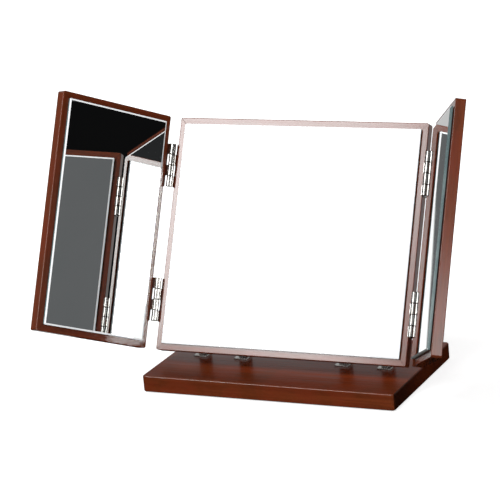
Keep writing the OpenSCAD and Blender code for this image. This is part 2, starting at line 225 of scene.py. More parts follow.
def new_group(name, inputs, outputs):
    """An empty shader node group with named sockets."""
    tree = bpy.data.node_groups.new(name, "ShaderNodeTree")
    for label, kind, value in inputs:
        socket = tree.interface.new_socket(label, in_out="INPUT", socket_type=kind)
        if value is not None:
            socket.default_value = value
    for label, kind in outputs:
        tree.interface.new_socket(label, in_out="OUTPUT", socket_type=kind)
    start = tree.nodes.new("NodeGroupInput")
    end = tree.nodes.new("NodeGroupOutput")
    return tree, start, end


def place_group(tree, group):
    """Puts a node group in a material."""
    step = tree.nodes.new("ShaderNodeGroup")
    step.node_tree = group
    return step


def new_material(name):
    """A material with an empty Principled shader, its tree and its shader."""
    made = bpy.data.materials.new(name)
    made.use_nodes = True
    tree = made.node_tree
    return made, tree, tree.nodes["Principled BSDF"]


def object_vector(tree, place=(0.0, 0.0, 0.0), turn=(0.0, 0.0, 0.0)):
    """Object coordinates, moved and turned into a piece's own frame."""
    start = add(tree, "ShaderNodeTexCoord")
    step = add(tree, "ShaderNodeMapping", vector_type="TEXTURE")
    step.inputs["Location"].default_value = place
    step.inputs["Rotation"].default_value = turn
    join(tree, start.outputs["Object"], step.inputs["Vector"])
    return step.outputs["Vector"]


BEVEL_SAMPLES = 6


def add_bump(tree, shader, height, strength, distance, arris=0.0):
    """Feeds a height into the shader's normal, over arrises that shade as if rounded."""
    step = add(tree, "ShaderNodeBump")
    if arris > 0.0:
        rounded = add(tree, "ShaderNodeBevel", samples=BEVEL_SAMPLES)
        rounded.inputs["Radius"].default_value = arris
        join(tree, rounded.outputs["Normal"], step.inputs["Normal"])
    step.inputs["Strength"].default_value = strength
    step.inputs["Distance"].default_value = distance
    join(tree, height, step.inputs["Height"])
    join(tree, step.outputs["Normal"], shader.inputs["Normal"])


# =============================================================== shared effects
# shares of streaks, bands and blotches in the stain's depth, then of the red and the pores over it
STREAK_SHARE = 0.5
BAND_SHARE = 0.32
BLOTCH_SHARE = 0.18
RED_SHARE = 0.5
PORE_SHARE = 0.45


def make_stained_wood():
    """Straight grain, growth bands, pores and soft red and brown blotches of stained hardwood."""
    inputs = (
        ("Vector", "NodeSocketVector", None),
        ("Grain Stretch", "NodeSocketVector", (8.0, 240.0, 240.0)),
        ("Light", "NodeSocketColor", (0.145, 0.030, 0.0055, 1.0)),
        ("Dark", "NodeSocketColor", (0.058, 0.010, 0.0022, 1.0)),
        ("Red", "NodeSocketColor", (0.115, 0.014, 0.004, 1.0)),
        ("Smooth", "NodeSocketFloat", 0.30),
        ("Rough", "NodeSocketFloat", 0.50),
    )
    outputs = (
        ("Color", "NodeSocketColor"),
        ("Roughness", "NodeSocketFloat"),
        ("Gloss", "NodeSocketFloat"),
        ("Height", "NodeSocketFloat"),
    )
    tree, start, end = new_group("stained_wood", inputs, outputs)
    stretch = add(tree, "ShaderNodeVectorMath", operation="MULTIPLY")
    join(tree, start.outputs["Vector"], stretch.inputs[0])
    join(tree, start.outputs["Grain Stretch"], stretch.inputs[1])
    along = stretch.outputs["Vector"]
    streak = ramp(tree, cloud(tree, along, 1.0, 5.0, 0.62, 0.3), 0.28, 0.72)
    band = ramp(tree, cloud(tree, along, 0.16, 2.0, 0.5, 0.5), 0.3, 0.7)
    pore = ramp(tree, cloud(tree, along, 3.1, 2.0, 0.6), 0.60, 0.72)
    blotch = ramp(tree, cloud(tree, start.outputs["Vector"], 26.0, 3.0, 0.55, 0.6), 0.35, 0.68)
    depth = sum_up(tree, "MULTIPLY", streak, STREAK_SHARE)
    depth = sum_up(tree, "ADD", depth, sum_up(tree, "MULTIPLY", band, BAND_SHARE))
    depth = sum_up(tree, "ADD", depth, sum_up(tree, "MULTIPLY", blotch, BLOTCH_SHARE))
    colour = tint(tree, depth, start.outputs["Dark"], start.outputs["Light"])
    redness = sum_up(tree, "MULTIPLY", blotch, RED_SHARE)
    colour = tint(tree, redness, colour, start.outputs["Red"])
    pore_depth = sum_up(tree, "MULTIPLY", pore, PORE_SHARE)
    colour = tint(tree, pore_depth, colour, start.outputs["Dark"], "MULTIPLY")
    span = sum_up(tree, "SUBTRACT", start.outputs["Rough"], start.outputs["Smooth"])
    rough = sum_up(tree, "ADD", start.outputs["Smooth"], sum_up(tree, "MULTIPLY", span, streak))
    gloss = ramp(tree, sum_up(tree, "ADD", streak, pore), 0.0, 2.0, 1.0, 0.72, False)
    height = sum_up(tree, "SUBTRACT", sum_up(tree, "MULTIPLY", streak, 0.4), pore)
    join(tree, colour, end.inputs["Color"])
    join(tree, rough, end.inputs["Roughness"])
    join(tree, gloss, end.inputs["Gloss"])
    join(tree, height, end.inputs["Height"])
    return tree


# match of the rounded normal with the face's own: where the painted arris colour starts and where it is
# full
ARRIS_MATCH = (0.995, 0.90)


def make_arris_paint_mask():
    """A mask that is 1 along the arrises, broken up by noise: where painted highlights and painted shade
    go.
    """
    inputs = (
        ("Vector", "NodeSocketVector", None),
        ("Radius", "NodeSocketFloat", 0.0008),
        ("Amount", "NodeSocketFloat", 0.6),
    )
    tree, start, end = new_group("arris_light_and_shade", inputs, (("Mask", "NodeSocketFloat"),))
    rounded = add(tree, "ShaderNodeBevel", samples=BEVEL_SAMPLES)
    join(tree, start.outputs["Radius"], rounded.inputs["Radius"])
    surface = add(tree, "ShaderNodeNewGeometry")
    match = add(tree, "ShaderNodeVectorMath", operation="DOT_PRODUCT")
    join(tree, rounded.outputs["Normal"], match.inputs[0])
    join(tree, surface.outputs["Normal"], match.inputs[1])
    painted_arris_light = ramp(tree, match.outputs["Value"], *ARRIS_MATCH)
    patchy = ramp(tree, cloud(tree, start.outputs["Vector"], 110.0, 3.0, 0.6), 0.22, 0.52)
    mask = sum_up(tree, "MULTIPLY", painted_arris_light, patchy)
    mask = sum_up(tree, "MULTIPLY", mask, start.outputs["Amount"])
    join(tree, mask, end.inputs["Mask"])
    return tree


def make_fine_scuffs():
    """Faint haze and hair scratches: a roughness and a height for polished and satin metal."""
    inputs = (
        ("Vector", "NodeSocketVector", None),
        ("Stretch", "NodeSocketVector", (300.0, 300.0, 300.0)),
        ("Smooth", "NodeSocketFloat", 0.10),
        ("Rough", "NodeSocketFloat", 0.20),
    )
    outputs = (
        ("Roughness", "NodeSocketFloat"),
        ("Tarnish", "NodeSocketFloat"),
        ("Height", "NodeSocketFloat"),
    )
    tree, start, end = new_group("fine_scuffs", inputs, outputs)
    stretch = add(tree, "ShaderNodeVectorMath", operation="MULTIPLY")
    join(tree, start.outputs["Vector"], stretch.inputs[0])
    join(tree, start.outputs["Stretch"], stretch.inputs[1])
    hair = ramp(tree, cloud(tree, stretch.outputs["Vector"], 1.0, 4.0, 0.7), 0.3, 0.7)
    haze = ramp(tree, cloud(tree, start.outputs["Vector"], 90.0, 3.0, 0.5), 0.3, 0.7)
    both = sum_up(tree, "MULTIPLY", sum_up(tree, "ADD", hair, haze), 0.5)
    span = sum_up(tree, "SUBTRACT", start.outputs["Rough"], start.outputs["Smooth"])
    rough = sum_up(tree, "ADD", start.outputs["Smooth"], sum_up(tree, "MULTIPLY", span, both))
    join(tree, rough, end.inputs["Roughness"])
    join(tree, haze, end.inputs["Tarnish"])
    join(tree, hair, end.inputs["Height"])
    return tree


STAINED_WOOD = make_stained_wood()
ARRIS_PAINT_MASK = make_arris_paint_mask()
FINE_SCUFFS = make_fine_scuffs()

# =============================================================== materials
# stretch of the grain: few waves along it, many across it, in waves per metre
GRAIN_ALONG = 7.0
GRAIN_ACROSS = 420.0
GRAIN_X = (GRAIN_ALONG, GRAIN_ACROSS, GRAIN_ACROSS)
GRAIN_Z = (GRAIN_ACROSS, GRAIN_ACROSS, GRAIN_ALONG)
BOARD_GRAIN = (180.0, 180.0, 3.5)
BOARD_LIGHT = (0.17, 0.045, 0.014)
BOARD_DARK = (0.09, 0.020, 0.007)
BOARD_SMOOTH = 0.38
BOARD_ROUGH = 0.60
BOARD_LACQUER = 0.5
BOARD_HAZE = 0.22
BOARD_RELIEF = 0.4

# the lacquer over the stain, and the relief of the grain under it
LACQUER_UNDER = 0.1
LACQUER_HAZE = 0.13
LACQUER_IOR = 1.5
GRAIN_RELIEF = 0.22
GRAIN_DEPTH = 0.2 * MM

# arrises with painted highlights and painted shade
ARRIS_RADIUS = 1 * MM
ARRIS_AMOUNT = 0.9

# the base's top: painted shade at its front and painted light towards its back, polish from its front to
# its back and from left to right, and its ends darkened as end grain and painted shade
PAINTED_SHADE_FRONT = (0.80, 0.72, 0.45)
PAINTED_LIGHT_BACK = (2.2, 1.75, 1.2)
PAINTED_LIGHT_SPREAD = (-65 * MM, 10 * MM)
END_GRAIN_AND_SHADE = (0.28, 0.30, 0.32)
END_AT = (BASE_W / 2 - 1.2 * MM, BASE_W / 2 - 0.4 * MM)
END_POLISH = 0.45
FRONT_ARRIS = (1.0 * MM - BASE_D / 2, 2.5 * MM - BASE_D / 2)
POLISH_FADE = (-68 * MM, 8 * MM)
POLISH_ACROSS = (-150 * MM, 140 * MM)
POLISH_FRONT = 0.06
POLISH_BACK = 0.80
POLISH_RIGHT = 0.5


def base_light_and_polish(tree, vector, colour, gloss):
    """The base's top has painted shade at the front and painted light towards the back, and is better
    polished towards the back and the left; its ends are darkened as end grain and painted shade.
    """
    split = add(tree, "ShaderNodeSeparateXYZ")
    join(tree, vector, split.inputs[0])
    behind_arris = ramp(tree, split.outputs["Y"], *FRONT_ARRIS)
    # painted shade at the front, painted light towards the back
    light_and_shade_tint = tint(tree, ramp(tree, split.outputs["Y"], *PAINTED_LIGHT_SPREAD), PAINTED_SHADE_FRONT, PAINTED_LIGHT_BACK)
    painted_light_colour = tint(tree, behind_arris, colour, tint(tree, 1.0, colour, light_and_shade_tint, "MULTIPLY"))
    fade = ramp(tree, split.outputs["Y"], *POLISH_FADE, POLISH_FRONT, POLISH_BACK)
    side = ramp(tree, split.outputs["X"], *POLISH_ACROSS, 1.0, POLISH_RIGHT)
    worn_off = sum_up(tree, "SUBTRACT", 1.0, sum_up(tree, "MULTIPLY", fade, side))
    worn_off = sum_up(tree, "MULTIPLY", worn_off, behind_arris)
    gloss = sum_up(tree, "MULTIPLY", gloss, sum_up(tree, "SUBTRACT", 1.0, worn_off))
    # ends darkened: end grain and painted shade
    ends = ramp(tree, sum_up(tree, "ABSOLUTE", split.outputs["X"], 0.0), *END_AT)
    darker = tint(tree, ends, painted_light_colour, tint(tree, 1.0, painted_light_colour, END_GRAIN_AND_SHADE, "MULTIPLY"))
    dull_ends = ramp(tree, ends, 0.0, 1.0, 1.0, END_POLISH)
    return darker, sum_up(tree, "MULTIPLY", gloss, dull_ends)


# painted highlight along the base's arrises
BASE_ARRIS_HIGHLIGHT = (0.80, 0.52, 0.42)
# painted highlight along the left wing's outer front arris
WING_ARRIS_HIGHLIGHT = (0.62, 0.36, 0.27)
# painted shade along the panels' arrises
ARRIS_SHADE = (0.040, 0.012, 0.006)
OUTER_ARRIS = (WING_W + PIN_OUT - 2 * MM, WING_W + PIN_OUT - 1 * MM)
FRONT_HALF = (4 * MM, 6 * MM)


def wing_arris_light(tree, vector):
    """The arris colour of the left wing: a painted highlight along the front of its outer edge, painted
    shade on its other arrises.
    """
    split = add(tree, "ShaderNodeSeparateXYZ")
    join(tree, vector, split.inputs[0])
    outer = ramp(tree, sum_up(tree, "ABSOLUTE", split.outputs["X"], 0.0), *OUTER_ARRIS)
    front = ramp(tree, split.outputs["Y"], *FRONT_HALF, 1.0, 0.0)
    return tint(tree, sum_up(tree, "MULTIPLY", outer, front), ARRIS_SHADE, WING_ARRIS_HIGHLIGHT)


def lacquered_wood(name, placing, grain, is_base=False, has_wing_arris_light=False):
    """Red-brown stained hardwood under a glossy clear lacquer."""
    made, tree, shader = new_material(name)
    vector = object_vector(tree, placing.to_translation(), placing.to_euler())
    wood = place_group(tree, STAINED_WOOD)
    join(tree, vector, wood.inputs["Vector"])
    wood.inputs["Grain Stretch"].default_value = grain
    # the arris mask: painted highlights on the base and the left wing's outer front arris, painted shade
    # on the other arrises, and less gloss on the panels' arrises
    wear = place_group(tree, ARRIS_PAINT_MASK)
    join(tree, vector, wear.inputs["Vector"])
    wear.inputs["Radius"].default_value = ARRIS_RADIUS
    wear.inputs["Amount"].default_value = ARRIS_AMOUNT
    colour = wood.outputs["Color"]
    gloss = wood.outputs["Gloss"]
    # arrises default to painted shade
    arris = ARRIS_SHADE
    if is_base:
        colour, gloss = base_light_and_polish(tree, vector, colour, gloss)
        # the base's arrises get a painted highlight
        arris = BASE_ARRIS_HIGHLIGHT
    else:
        off_arris = sum_up(tree, "SUBTRACT", 1.0, wear.outputs["Mask"])
        gloss = sum_up(tree, "MULTIPLY", gloss, off_arris)
    if has_wing_arris_light:
        # the left wing's stiles: painted highlight on the outer front arris, painted shade elsewhere
        arris = wing_arris_light(tree, vector)
    join(tree, tint(tree, wear.outputs["Mask"], colour, arris), shader.inputs["Base Color"])
    join(tree, wood.outputs["Roughness"], shader.inputs["Roughness"])
    join(tree, gloss, shader.inputs["Coat Weight"])
    shader.inputs["Specular IOR Level"].default_value = LACQUER_UNDER
    shader.inputs["Coat Roughness"].default_value = LACQUER_HAZE
    shader.inputs["Coat IOR"].default_value = LACQUER_IOR
    add_bump(tree, shader, wood.outputs["Height"], GRAIN_RELIEF, GRAIN_DEPTH)
    return made


def lacquered_board(name, placing):
    """Stained board under a satin lacquer, grain upright."""
    made, tree, shader = new_material(name)
    vector = object_vector(tree, placing.to_translation(), placing.to_euler())
    wood = place_group(tree, STAINED_WOOD)
    join(tree, vector, wood.inputs["Vector"])
    wood.inputs["Grain Stretch"].default_value = BOARD_GRAIN
    wood.inputs["Light"].default_value = (*BOARD_LIGHT, 1.0)
    wood.inputs["Dark"].default_value = (*BOARD_DARK, 1.0)
    wood.inputs["Smooth"].default_value = BOARD_SMOOTH
    wood.inputs["Rough"].default_value = BOARD_ROUGH
    join(tree, wood.outputs["Color"], shader.inputs["Base Color"])
    join(tree, wood.outputs["Roughness"], shader.inputs["Roughness"])
    shader.inputs["Coat Weight"].default_value = BOARD_LACQUER
    shader.inputs["Coat Roughness"].default_value = BOARD_HAZE
    add_bump(tree, shader, wood.outputs["Height"], BOARD_RELIEF, GRAIN_DEPTH)
    return made


KNUCKLES = 4
JOINT_LINE = 0.8 * MM
JOINT_CORE = 0.6
JOINT_SHADE = (0.05, 0.045, 0.04)
HAIR_DEPTH = 0.05 * MM


def knuckle_joints(tree):
    """A mask that is 1 at the joints between the knuckles of the wing hinges, where shade is painted."""
    vector = object_vector(tree, CENTRE.to_translation(), CENTRE.to_euler())
    split = add(tree, "ShaderNodeSeparateXYZ")
    join(tree, vector, split.inputs[0])
    pitch = HINGE_LEN / KNUCKLES
    from_middle = sum_up(tree, "SUBTRACT", split.outputs["Z"], PANEL_H / 2)
    from_middle = sum_up(tree, "ABSOLUTE", from_middle, 0.0)
    hinge_start = PANEL_H / 2 - HINGE_END - HINGE_LEN
    along = sum_up(tree, "SUBTRACT", from_middle, hinge_start - pitch / 2)
    within = sum_up(tree, "SUBTRACT", sum_up(tree, "FLOORED_MODULO", along, pitch), pitch / 2)
    apart = sum_up(tree, "ABSOLUTE", within, 0.0)
    return ramp(tree, apart, JOINT_LINE * JOINT_CORE, JOINT_LINE, 1.0, 0.0)


def metal(name, bright, dull, stretch, smooth, rough, bump, jointed=False, arris=0.0):
    """Plated metal with haze, hair scratches and slightly duller patches, its arrises rounded over."""
    made, tree, shader = new_material(name)
    vector = object_vector(tree)
    scuffs = place_group(tree, FINE_SCUFFS)
    join(tree, vector, scuffs.inputs["Vector"])
    scuffs.inputs["Stretch"].default_value = stretch
    scuffs.inputs["Smooth"].default_value = smooth
    scuffs.inputs["Rough"].default_value = rough
    colour = tint(tree, scuffs.outputs["Tarnish"], bright, dull)
    if jointed:
        # painted shade in the gaps between the knuckles
        colour = tint(tree, knuckle_joints(tree), colour, JOINT_SHADE)
    join(tree, colour, shader.inputs["Base Color"])
    join(tree, scuffs.outputs["Roughness"], shader.inputs["Roughness"])
    shader.inputs["Metallic"].default_value = 1.0
    add_bump(tree, shader, scuffs.outputs["Height"], bump, HAIR_DEPTH, arris)
    return made


SILVER_CLEAR = (0.935, 0.950, 0.945)
SILVER_HAZY = (0.915, 0.935, 0.930)
SILVER_ROUGH = (0.004, 0.012)
GRIT_RELIEF = 0.15
GRIT_DEPTH = 0.05 * MM


def silvered_face():
    """Silvered float glass seen from the front: a clear reflection with the faintest haze."""
    made, tree, shader = new_material("silvered_face")
    vector = object_vector(tree)
    haze = ramp(tree, cloud(tree, vector, 18.0, 4.0, 0.55), 0.35, 0.75)
    colour = tint(tree, haze, SILVER_CLEAR, SILVER_HAZY)
    join(tree, colour, shader.inputs["Base Color"])
    join(tree, ramp(tree, haze, 0.0, 1.0, *SILVER_ROUGH), shader.inputs["Roughness"])
    shader.inputs["Metallic"].default_value = 1.0
    return made


def ground_glass(name, pale, deep, smooth, rough):
    """Ground glass edge, softly shining, with the grinder's fine grit."""
    made, tree, shader = new_material(name)
    vector = object_vector(tree)
    grit = ramp(tree, cloud(tree, vector, 900.0, 3.0, 0.6), 0.3, 0.7)
    drift = ramp(tree, cloud(tree, vector, 30.0, 2.0, 0.5), 0.3, 0.7)
    join(tree, tint(tree, drift, pale, deep), shader.inputs["Base Color"])
    join(tree, ramp(tree, grit, 0.0, 1.0, smooth, rough), shader.inputs["Roughness"])
    add_bump(tree, shader, grit, GRIT_RELIEF, GRIT_DEPTH)
    return made


PAINT_DARK = (0.20, 0.19, 0.18)
PAINT_PALE = (0.27, 0.26, 0.25)
PAINT_ROUGH = (0.45, 0.7)
PAINT_RELIEF = 0.2
PAINT_DEPTH = 0.1 * MM


def backing_paint():
    """The paint over the silvering, seen only from behind the plate."""
    made, tree, shader = new_material("backing_paint")
    vector = object_vector(tree)
    grain = ramp(tree, cloud(tree, vector, 240.0, 4.0, 0.6), 0.3, 0.7)
    join(tree, tint(tree, grain, PAINT_DARK, PAINT_PALE), shader.inputs["Base Color"])
    join(tree, ramp(tree, grain, 0.0, 1.0, *PAINT_ROUGH), shader.inputs["Roughness"])
    add_bump(tree, shader, grain, PAINT_RELIEF, PAINT_DEPTH)
    return made


FOAM_SHADED = (0.72, 0.72, 0.68)
FOAM_PALE = (0.86, 0.86, 0.82)
FOAM_CELLS = 1800.0
FOAM_ROUGH = (0.75, 0.95)
FOAM_RELIEF = 0.5
FOAM_DEPTH = 0.2 * MM


def white_foam():
    """Closed-cell white foam tape."""
    made, tree, shader = new_material("white_foam")
    vector = object_vector(tree)
    cells = add(tree, "ShaderNodeTexVoronoi")
    join(tree, vector, cells.inputs["Vector"])
    cells.inputs["Scale"].default_value = FOAM_CELLS
    shade = ramp(tree, cells.outputs["Distance"], 0.0, 0.8)
    join(tree, tint(tree, shade, FOAM_SHADED, FOAM_PALE), shader.inputs["Base Color"])
    join(tree, ramp(tree, shade, 0.0, 1.0, *FOAM_ROUGH), shader.inputs["Roughness"])
    add_bump(tree, shader, shade, FOAM_RELIEF, FOAM_DEPTH)
    return made


FELT_DARK = (0.025, 0.022, 0.022)
FELT_PALE = (0.075, 0.065, 0.062)
FELT_SHEEN = 0.3
FELT_ROUGH = (0.85, 1.0)
FELT_RELIEF = 0.8
FELT_DEPTH = 0.3 * MM


def dark_felt():
    """Pressed felt: matted fibres, no shine but a soft sheen."""
    made, tree, shader = new_material("dark_felt")
    vector = object_vector(tree)
    fibres = ramp(tree, cloud(tree, vector, 900.0, 5.0, 0.75, 1.5), 0.3, 0.7)
    tufts = ramp(tree, cloud(tree, vector, 120.0, 3.0, 0.6), 0.3, 0.7)
    mixed = sum_up(tree, "MULTIPLY", sum_up(tree, "ADD", fibres, tufts), 0.5)
    join(tree, tint(tree, mixed, FELT_DARK, FELT_PALE), shader.inputs["Base Color"])
    join(tree, ramp(tree, mixed, 0.0, 1.0, *FELT_ROUGH), shader.inputs["Roughness"])
    shader.inputs["Sheen Weight"].default_value = FELT_SHEEN
    add_bump(tree, shader, fibres, FELT_RELIEF, FELT_DEPTH)
    return made


def wear(piece, finish):
    """Gives a CAD node's object a better material in its own material slots."""
    for place in piece.material_slots:
        place.link = "OBJECT"
        place.material = finish


def dress_wood():
    """Each panel's rails and stiles, its board and the base, with the grain along each member."""
    panels = {"centre": CENTRE, "left_wing": WINGS["left"], "right_wing": WINGS["right"]}
    nodes = frame["nodes"]
    for panel, placing in panels.items():
        rails = lacquered_wood(panel + "_rail_wood", placing, GRAIN_X)
        # the left wing's stiles carry a painted arris highlight
        painted_arris_light = panel == "left_wing"
        stiles = lacquered_wood(panel + "_stile_wood", placing, GRAIN_Z, has_wing_arris_light=painted_arris_light)
        board = lacquered_board(panel + "_board_wood", placing)
        for name, piece in nodes.items():
            if not name.startswith(panel):
                continue
            if name.endswith("rail"):
                wear(piece, rails)
            elif name.endswith("stile"):
                wear(piece, stiles)
            elif name.endswith("back_board"):
                wear(piece, board)
    wear(nodes["base_board"], lacquered_wood("base_wood", Matrix.Identity(4), GRAIN_X, True))


FINE_HAIR = (260.0, 260.0, 260.0)
BRUSHED = (700.0, 60.0, 60.0)
NICKEL = (0.44, 0.43, 0.41)
DULL_NICKEL = (0.38, 0.37, 0.35)
NICKEL_ROUGH = (0.14, 0.20)
NICKEL_HAIR = 0.008
STEEL_ARRIS = 1.6 * MM
STEEL = (0.66, 0.65, 0.63)
DULL_STEEL = (0.50, 0.49, 0.46)
STEEL_ROUGH = (0.20, 0.32)
STEEL_HAIR = 0.1


def dress_fittings():
    """Hinges, stands, tape and felt."""
    nickel = metal("bright_nickel", NICKEL, DULL_NICKEL, FINE_HAIR, *NICKEL_ROUGH, NICKEL_HAIR, True)
    satin = (STEEL, DULL_STEEL, BRUSHED, *STEEL_ROUGH, STEEL_HAIR)
    steel = metal("satin_steel", *satin, arris=STEEL_ARRIS)
    foam = white_foam()
    felt = dark_felt()
    for name, piece in frame["nodes"].items():
        if "hinge" in name and ("leaf" in name or "pins" in name):
            wear(piece, nickel)
        elif "tilt" in name and "screws" not in name:
            wear(piece, steel)
        elif name.endswith("tape"):
            wear(piece, foam)
        elif name == "base_felt":
            wear(piece, felt)


# =============================================================== mirror plates
PLATE_CORNER = 1.0 * MM
FACE_CORNER = PLATE_CORNER / 2
CORNER_STEPS = 4
FACE_SLOT = 0
BEVEL_SLOT = 1
EDGE_SLOT = 2
BACK_SLOT = 3
BEVEL_PALE = (0.90, 0.91, 0.92)
BEVEL_DEEP = (0.82, 0.84, 0.86)
BEVEL_ROUGH = (0.35, 0.55)
EDGE_PALE = (0.12, 0.17, 0.17)
EDGE_DEEP = (0.07, 0.115, 0.12)
EDGE_ROUGH = (0.22, 0.36)


def rounded_ring(width, height, inset, radius):
    """Points round a rectangle from (0, 0) to (width, height), inset, with rounded corners."""
    points = []
    corners = (
        (width - inset - radius, height - inset - radius, 0.0),
        (inset + radius, height - inset - radius, 90.0),
        (inset + radius, inset + radius, 180.0),
        (width - inset - radius, inset + radius, 270.0),
    )
    for x, z, first in corners:
        for step in range(CORNER_STEPS + 1):
            angle = math.radians(first + 90.0 * step / CORNER_STEPS)
            points.append((x + radius * math.cos(angle), z + radius * math.sin(angle)))
    return points


def plate_mesh(name, width, placing, finishes, shade_outer_bevel=False):
    """A mirror plate: silvered face, ground bevel, ground edge and painted back.

    With that flag the bevel's outer and lower sides get the edge's dark finish, as painted shade.
    """
    glass_w = width - 2 * BORDER_W
    glass_h = PANEL_H - 2 * BORDER_W
    face_y = -TAPE_T - GLASS_T
    rings = (
        (0.0, -TAPE_T, PLATE_CORNER),
        (0.0, face_y + BEVEL_DROP, PLATE_CORNER),
        (BEVEL_W, face_y, FACE_CORNER),
    )
    mesh = bmesh.new()
    loops = []
    for inset, y, radius in rings:
        loop = []
        for x, z in rounded_ring(glass_w, glass_h, inset, radius):
            spot = placing @ Vector((x + BORDER_W, y, z + BORDER_W))
            loop.append(mesh.verts.new(spot))
        loops.append(loop)
    count = len(loops[0])
    shaded_bevel_sides = (count - 1, count - 2 - CORNER_STEPS)
    for ring in range(2):
        slot_index = (EDGE_SLOT, BEVEL_SLOT)[ring]
        for i in range(count):
            k = (i + 1) % count
            quad = (loops[ring][i], loops[ring][k], loops[ring + 1][k], loops[ring + 1][i])
            side = mesh.faces.new(quad)
            # painted shade: the flagged plate's outer and lower bevel sides get the dark edge finish
            side.material_index = EDGE_SLOT if shade_outer_bevel and i in shaded_bevel_sides else slot_index
    mesh.faces.new(loops[2]).material_index = FACE_SLOT
    mesh.faces.new(loops[0]).material_index = BACK_SLOT
    bmesh.ops.recalc_face_normals(mesh, faces=mesh.faces)
    data = bpy.data.meshes.new(name)
    mesh.to_mesh(data)
    mesh.free()
    for finish in finishes:
        data.materials.append(finish)
    plate = bpy.data.objects.new(name, data)
    bpy.context.scene.collection.objects.link(plate)
    return plate


def make_mirrors():
    """The three mirror plates, taped on the fronts of their panels."""
    face = silvered_face()
    bevel = ground_glass("ground_bevel", BEVEL_PALE, BEVEL_DEEP, *BEVEL_ROUGH)
    edge = ground_glass("glass_edge", EDGE_PALE, EDGE_DEEP, *EDGE_ROUGH)
    finishes = (face, bevel, edge, backing_paint())
    shift = Matrix.Translation((-PANEL_W / 2, 0.0, 0.0))
    centre = plate_mesh("centre_mirror_plate", PANEL_W, CENTRE @ shift, finishes)
    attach(centre, "centre_panel")
    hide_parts("centre_mirror")
    for side in ("left", "right"):
        shift = Matrix.Translation((PIN_OUT, PIN_FORWARD, 0.0))
        placing = WINGS[side] @ flipped(side) @ shift
        # the right plate gets painted shade on its outer and lower bevel sides
        plate = plate_mesh(side + "_wing_mirror_plate", WING_W, placing, finishes, side == "right")
        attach(plate, side + "_wing")
        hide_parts(side + "_wing_mirror")


# =============================================================== screws, by Geometry Nodes
HEAD_SIDES = 32
SHANK_SIDES = 20
RECESS_WIDE = 0.14
RECESS_LONG = 0.6
POINT_SHARE = 0.3
TURN_SEED = 7
SCREW_BACK = 0.2 * MM
SCREW_BRIGHT = (0.70, 0.69, 0.67)
SCREW_DULL = (0.60, 0.59, 0.56)
SCREW_ROUGH = (0.16, 0.32)
SCREW_HAIR = 0.15
EVEN_HAIR = (500.0, 500.0, 500.0)


